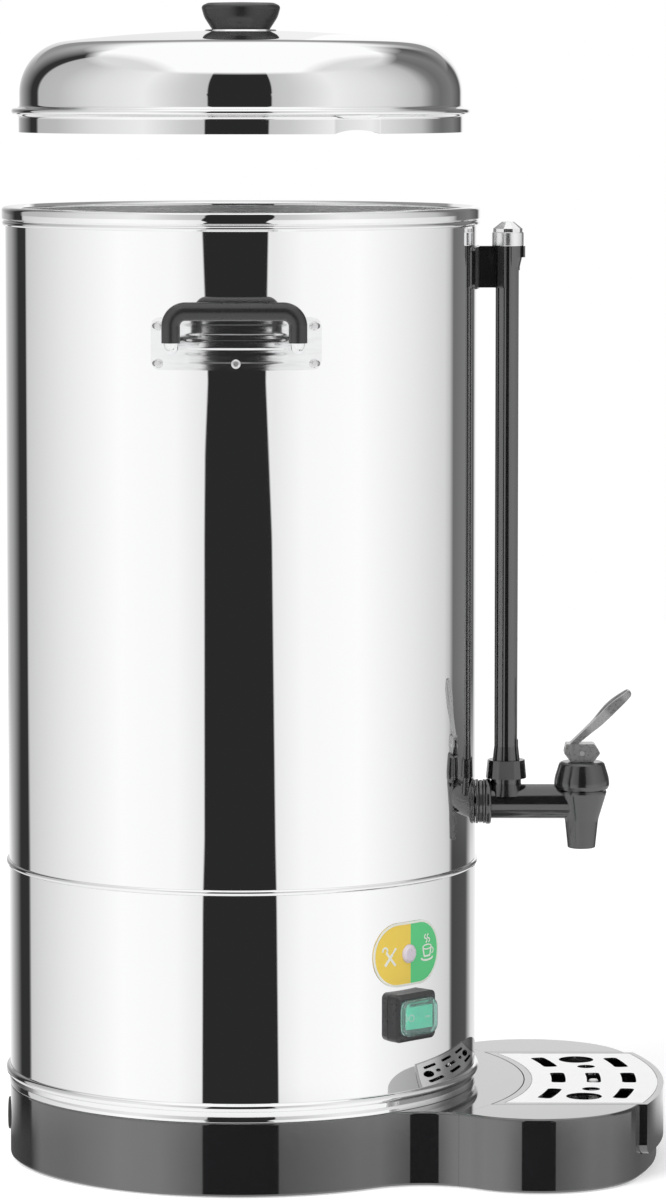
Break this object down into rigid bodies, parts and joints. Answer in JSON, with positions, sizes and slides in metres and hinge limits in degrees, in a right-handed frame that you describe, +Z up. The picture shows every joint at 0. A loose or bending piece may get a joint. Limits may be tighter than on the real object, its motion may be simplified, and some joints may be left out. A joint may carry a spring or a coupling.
{
  "type": "hot water urn",
  "caption": "Double-walled stainless hot water urn with a lever tap, sight gauge, two carrying handles, lift-off lid and a drip tray that slides out of its moulded base.",
  "frame": {"origin": "on the barrel's axis, at the level of the floor under the feet", "axes": "+Z up along the barrel's axis, +X towards the tap and the drip tray; the carrying handles are at -Y and +Y"},
  "size_m": [0.3915, 0.3522, 0.6699],
  "materials": {
    "mirror_steel": "stainless sheet polished to a mirror",
    "satin_steel": "stainless steel, satin",
    "grid_steel": "stainless plate, fine satin",
    "chrome": "bright chrome plating",
    "plated_steel": "bright plated steel",
    "zinc_sheet": "zinc-plated steel sheet",
    "aluminium": "bare aluminium plate",
    "black_moulding": "black moulded plastic, glossy",
    "dull_plastic": "black heat-proof plastic, dull",
    "white_plastic": "white moulded plastic",
    "white_silicone": "white silicone",
    "black_rubber": "black rubber",
    "green_plastic": "green translucent switch plastic",
    "boot_plastic": "clear soft boot with a teal tint",
    "clear_plastic": "clear lens",
    "label": "two-colour printed film",
    "glass": "clear borosilicate tube"
  },
  "bodies": {
    "urn": {"base_housing": "black_moulding", "base_lobe": "black_moulding", "tray_bay": "black_moulding", "centring_ring": "black_moulding", "base_cover": "zinc_sheet", "base_screws": "plated_steel", "rubber_feet": "black_rubber", "cord_gland": "dull_plastic", "lower_shell": "mirror_steel", "upper_shell": "mirror_steel", "rim_ring": "mirror_steel", "inner_tank": "satin_steel", "tank_floor": "satin_steel", "lock_lugs": "satin_steel", "heat_spreader": "aluminium", "heating_element": "satin_steel", "clamp_bridge": "zinc_sheet", "bridge_nut": "plated_steel", "thermostat": "dull_plastic", "boil_dry_cutout": "dull_plastic", "terminal_block": "white_plastic", "label_plate": "label", "indicator_lens": "clear_plastic", "indicator_body": "dull_plastic", "switch_bezel": "black_moulding", "switch_boot": "boot_plastic", "switch_body": "dull_plastic", "gauge_bracket": "black_moulding", "bracket_screws": "plated_steel", "gauge_guard": "black_moulding", "gauge_tube": "glass", "gauge_nut": "black_moulding", "gauge_seal": "black_rubber", "gauge_cap": "chrome", "tap_washer": "black_rubber", "tap_seal": "black_rubber", "tap_back_nut": "satin_steel", "tap_body": "black_moulding", "tap_bonnet": "black_moulding", "valve_spring": "satin_steel", "front_handle_plate": "satin_steel", "front_handle_arms": "chrome", "front_handle_grip": "black_moulding", "front_handle_rivets": "plated_steel", "back_handle_plate": "satin_steel", "back_handle_arms": "chrome", "back_handle_grip": "black_moulding", "back_handle_rivets": "plated_steel"},
    "lid": {"lid_shell": "mirror_steel", "lid_knob": "black_moulding", "knob_screw": "plated_steel", "knob_washer": "plated_steel"},
    "valve": {"valve_stem": "satin_steel", "seat_cup": "white_silicone", "lever_pin": "plated_steel"},
    "lever": {"tap_lever": "black_moulding"},
    "rocker": {"switch_rocker": "green_plastic"},
    "tray": {"tray_pan": "black_moulding"},
    "grid": {"drip_grid": "grid_steel"},
    "float": {"level_float": "white_plastic"}
  },
  "joints": [
    {"name": "lid_lift", "type": "slide", "parent": "urn", "child": "lid", "axis": [0, 0, 1], "range_m": [-0.0537, 0.05]},
    {"name": "valve_lift", "type": "slide", "parent": "urn", "child": "valve", "axis": [0, 0, 1], "range_m": [0, 0.00397], "stiffness_N_per_m": 150, "springref_m": -0.004, "deforming": ["valve_spring"]},
    {"name": "lever_press", "type": "hinge", "parent": "valve", "child": "lever", "pos_m": [0.198, 0, 0.2352], "axis": [0, 1, 0], "range_deg": [0, 35]},
    {"name": "rocker_tilt", "type": "hinge", "parent": "urn", "child": "rocker", "pos_m": [0.09928, -0.09928, 0.0973], "axis": [0, 0, 1], "range_deg": [0, 14]},
    {"name": "tray_slide", "type": "slide", "parent": "urn", "child": "tray", "axis": [1, 0, 0], "range_m": [0, 0.1]},
    {"name": "grid_lift", "type": "slide", "parent": "tray", "child": "grid", "axis": [0, 0, 1], "range_m": [0, 0.05]},
    {"name": "float_rise", "type": "slide", "parent": "tray", "child": "float", "axis": [0, 0, 1], "range_m": [0, 0.005]}
  ],
  "couplings": [
    {"joint": "lever_press", "follows": "valve_lift", "rad_per_m": 153.85}
  ]
}
